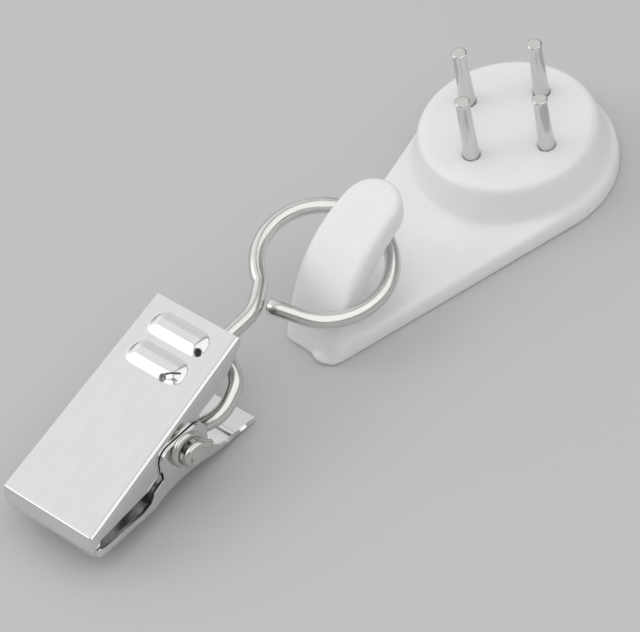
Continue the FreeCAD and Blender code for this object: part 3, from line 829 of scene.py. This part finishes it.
def makePivot(sides=36):
    left, tip, dome, flat = -(earOut + pivot["rivetOut"]), pivot["tip"], pivot["dome"], pivot["domeFlat"]
    profile = [(r, left + inward) for r, inward in pivot["rivetEnd"]]
    profile += [(r, -earOut - out) for r, out in pivot["rivetFoot"]]
    profile += [(r, earOut + out) for r, out in pivot["shoulder"]]
    end = pivot["shoulder"][-1][0]
    profile.append((end, tip - dome - pivot["domeLead"]))
    for step in range(1, pivot["domeSteps"]):
        angle = math.pi / 2 * step / pivot["domeSteps"]
        width = flat + (1 - flat) * math.cos(angle) ** pivot["domePower"]
        profile.append((end * width, tip - dome * (1 - math.sin(angle))))
    profile.append((pivot["tipRadius"], tip))
    verts = []
    for r, x in profile:
        for angle in ringAngles(sides):
            verts.append(clipPlace @ Vector((x, r * math.cos(angle), clip["pivotHeight"] + r * math.sin(angle))))
    piece = addPiece(
        "rivetedPivot", verts, tubeFaces(len(profile), sides), "clip_upper", pivotSteel)
    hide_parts("pivot_pin")
    return piece


makePivot()
print("spring wound on its pivot")

# the moulding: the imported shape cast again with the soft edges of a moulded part, and the stub left by its gate
moulding = {
    "grain": 0.15, "smoothing": {"skin": 22, "tailCorners": 34, "plateRim": 70},
    "tailFrom": -27.4, "tailTop": 3.5, "rimHeights": (0.5, 1.3, 2.4, 3.4),
    "bore": 0.79, "boreLip": 0.9, "boreTop": 5.88, "skinFrom": 1.03, "skinOver": 0.4,
    "stub": ((1.5, -28.2, 0.42), (1.0, 0.45, 0.42)),
}
boreMiddles = [(pins["middle"] * x, pins["middle"] * y) for x, y in pins["towards"].values()]


def meshOf(piece):
    return bpy.data.meshes.new_from_object(piece.evaluated_get(bpy.context.evaluated_depsgraph_get()))


def tailShare(x, y, z):
    # the tail's corners, but not the stub
    place, size = moulding["stub"]
    onStub = abs(x - place[0]) < size[0] and z < place[2] + size[2]
    return 1.0 if y < moulding["tailFrom"] and z < moulding["tailTop"] and not onStub else 0.0


def skinShare(x, y, z):
    # everything but the bores
    away = min(math.hypot(x - boreX, y - boreY) for boreX, boreY in boreMiddles)
    return min(1.0, (away - moulding["skinFrom"]) / moulding["skinOver"])


def rimShare(x, y, z):
    low, full, fade, high = moulding["rimHeights"]
    return min((z - low) / (full - low), (high - z) / (high - fade), 1.0)


def makeMoulding():
    draft = addObject("mouldDraft", nodes["hook_body"].data.copy())
    work = bmesh.new()
    work.from_mesh(draft.data)
    place, size = moulding["stub"]
    bmesh.ops.create_uvsphere(
        work, u_segments=20, v_segments=12, radius=1.0,
        matrix=Matrix.Scale(mm, 4) @ Matrix.Translation(place) @ Matrix.Diagonal((*size, 1)))
    work.to_mesh(draft.data)
    work.free()
    recast = draft.modifiers.new("recast", "REMESH")
    recast.mode = "VOXEL"
    recast.voxel_size = moulding["grain"] * mm
    cast = meshOf(draft)
    draft.modifiers.clear()
    draft.data = cast
    for name, shareOf in (("skin", skinShare), ("tailCorners", tailShare), ("plateRim", rimShare)):
        group = draft.vertex_groups.new(name=name)
        for v in cast.vertices:
            share = shareOf(v.co.x / mm, v.co.y / mm, v.co.z / mm)
            if share > 0:
                group.add([v.index], share, "REPLACE")
        soften = draft.modifiers.new("soften", "SMOOTH")
        soften.factor = 0.5
        soften.iterations = moulding["smoothing"][name]
        soften.vertex_group = name
    mesh = meshOf(draft)
    bpy.data.objects.remove(draft)
    # the bores keep their size up to their soft lips
    for v in mesh.vertices:
        for boreX, boreY in boreMiddles:
            away = Vector((v.co.x / mm - boreX, v.co.y / mm - boreY))
            if away.length < moulding["boreLip"] and v.co.z < moulding["boreTop"] * mm:
                away *= moulding["bore"] / away.length
                v.co.x, v.co.y = (away.x + boreX) * mm, (away.y + boreY) * mm
    mesh.name = "mouldedHook"
    mesh.materials.clear()
    mesh.materials.append(whitePlastic)
    smoothFaces(mesh)
    piece = addObject("mouldedHook", mesh)
    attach(piece, "hook")
    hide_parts("hook_body")
    return piece


makeMoulding()
print("hook moulded")

# studio: pale floor, four soft boxes, soft world; sizes here are in metres
studio = {
    "floorSize": 3.0, "floorDrop": 0.00003,
    "worldLow": 0.50, "worldHigh": 0.22, "worldBlue": 1.03, "worldRise": 0.8,
}
softBoxes = {  # place, aim, width along the hook, height across it, brightness
    "boxLeft": ((-0.42, 0.0, 0.42), (0, 0, 0), 1.2, 0.66, 0.50),
    "boxOver": ((-0.39, -0.20, 0.39), (0, -0.20, 0), 0.72, 0.62, 0.22),
    "boxRight": ((0.235, 0.0, 0.557), (-0.065, 0, 0.037), 1.1, 0.81, 0.97),
    "boxFrontLeft": ((-0.414, -0.398, 0.372), (-0.084, 0.042, -0.008), 0.55, 0.38, 1.05),
}


def makeFloor():
    size = studio["floorSize"] / 2
    mesh = bpy.data.meshes.new("studioFloor")
    corners = [(-size, -size), (size, -size), (size, size), (-size, size)]
    mesh.from_pydata([(x, y, -studio["floorDrop"]) for x, y in corners], [], [(0, 1, 2, 3)])
    mesh.materials.append(makeFloorPaint(floorFinish))
    floor = addObject("studioFloor", mesh)


def makeSoftBox(name, place, aim, width, height, radiance):
    data = bpy.data.lights.new(name, "AREA")
    data.shape = "RECTANGLE"
    data.size, data.size_y = width, height
    data.energy = radiance * math.pi * width * height
    lamp = addObject(name, data)
    lamp.location = place
    lamp.rotation_euler = (Vector(aim) - Vector(place)).to_track_quat("-Z", "Y").to_euler()
    lamp.visible_camera = False


def makeWorld():
    world = bpy.data.worlds.new("studioWorld")
    bpy.context.scene.world = world
    world.use_nodes = True
    tree = world.node_tree
    background = tree.nodes["Background"]
    split = tree.nodes.new("ShaderNodeSeparateXYZ")
    tree.links.new(tree.nodes.new("ShaderNodeTexCoord").outputs["Generated"], split.inputs["Vector"])
    rise = mapTo(tree, split.outputs["Z"], (0.0, studio["worldRise"]), (0.0, 1.0))
    low, high = studio["worldLow"], studio["worldHigh"]
    sky = blendColours(tree, rise, (low, low, low), (high, high, high * studio["worldBlue"]))
    tree.links.new(sky, background.inputs["Color"])
    background.inputs["Strength"].default_value = 1.0


makeFloor()
for name, (place, aim, width, height, radiance) in softBoxes.items():
    makeSoftBox(name, place, aim, width, height, radiance)
makeWorld()

# camera where the photograph was taken from: angles in degrees, slide is right and up
viewpoint = {
    "azimuth": 54.26, "elevation": 48.11, "roll": -13.99, "lens": 168.75, "sensor": 36.0, "distance": 282.23,
    "slide": (-18.25, -14.06), "nearest": 10,
}


def makeCamera():
    a, e, r = (math.radians(viewpoint[k]) for k in ("azimuth", "elevation", "roll"))
    back = Vector((math.sin(a) * math.cos(e), -math.cos(a) * math.cos(e), math.sin(e)))
    flat = Vector((math.cos(a), math.sin(a), 0))
    upright = back.cross(flat)
    right = flat * math.cos(r) + upright * math.sin(r)
    up = upright * math.cos(r) - flat * math.sin(r)
    data = bpy.data.cameras.new("studioCamera")
    data.lens = viewpoint["lens"]
    data.sensor_width = viewpoint["sensor"]
    data.clip_start = viewpoint["nearest"] * mm
    camera = addObject("studioCamera", data)
    slideRight, slideUp = viewpoint["slide"]
    eye = (right * slideRight + up * slideUp + back * viewpoint["distance"]) * mm
    turn = Matrix((right, up, back)).transposed().to_4x4()
    camera.matrix_world = Matrix.Translation(eye) @ turn
    bpy.context.scene.camera = camera


makeCamera()
bpy.context.scene.view_settings.view_transform = "Standard"
print("studio lit")
